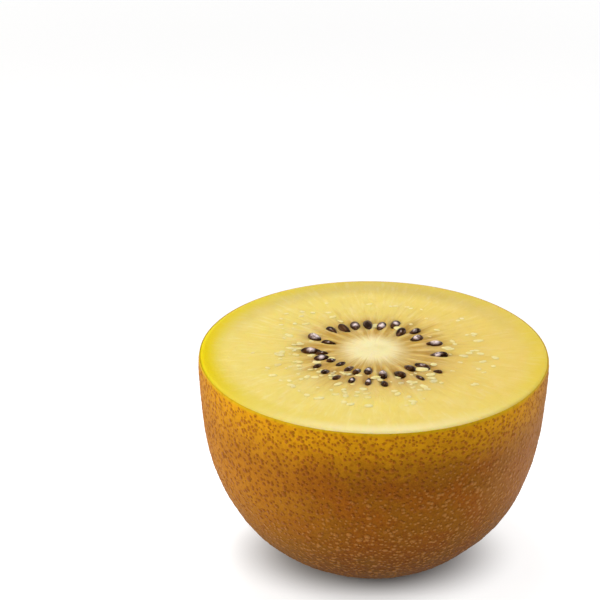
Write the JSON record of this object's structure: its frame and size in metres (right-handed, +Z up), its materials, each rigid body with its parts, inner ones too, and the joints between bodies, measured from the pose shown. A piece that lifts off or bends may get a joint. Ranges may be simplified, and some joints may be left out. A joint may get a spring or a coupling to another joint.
{
  "type": "golden kiwi fruit half",
  "caption": "Half of a gold-fleshed kiwi fruit, cut across the middle and resting on its stem end, with the flat cut face, pale core and ring of dark seeds facing up.",
  "frame": {"origin": "middle of the small flat spot at the stem end that the half rests on", "axes": "+Z up through the core to the cut face, +X across the wider way of the cut face, -Y the side that the picture shows"},
  "size_m": [0.052, 0.0502, 0.0347],
  "materials": {
    "skin": "thin matte golden brown skin with small corky dots",
    "flesh": "moist translucent golden yellow flesh",
    "cork": "dry tan to red-brown cork of the dots on the skin and of the stem scar",
    "seed": "glossy dark brown seed coat"
  },
  "bodies": {
    "root": {"kiwi_half": "skin"}
  },
  "joints": []
}
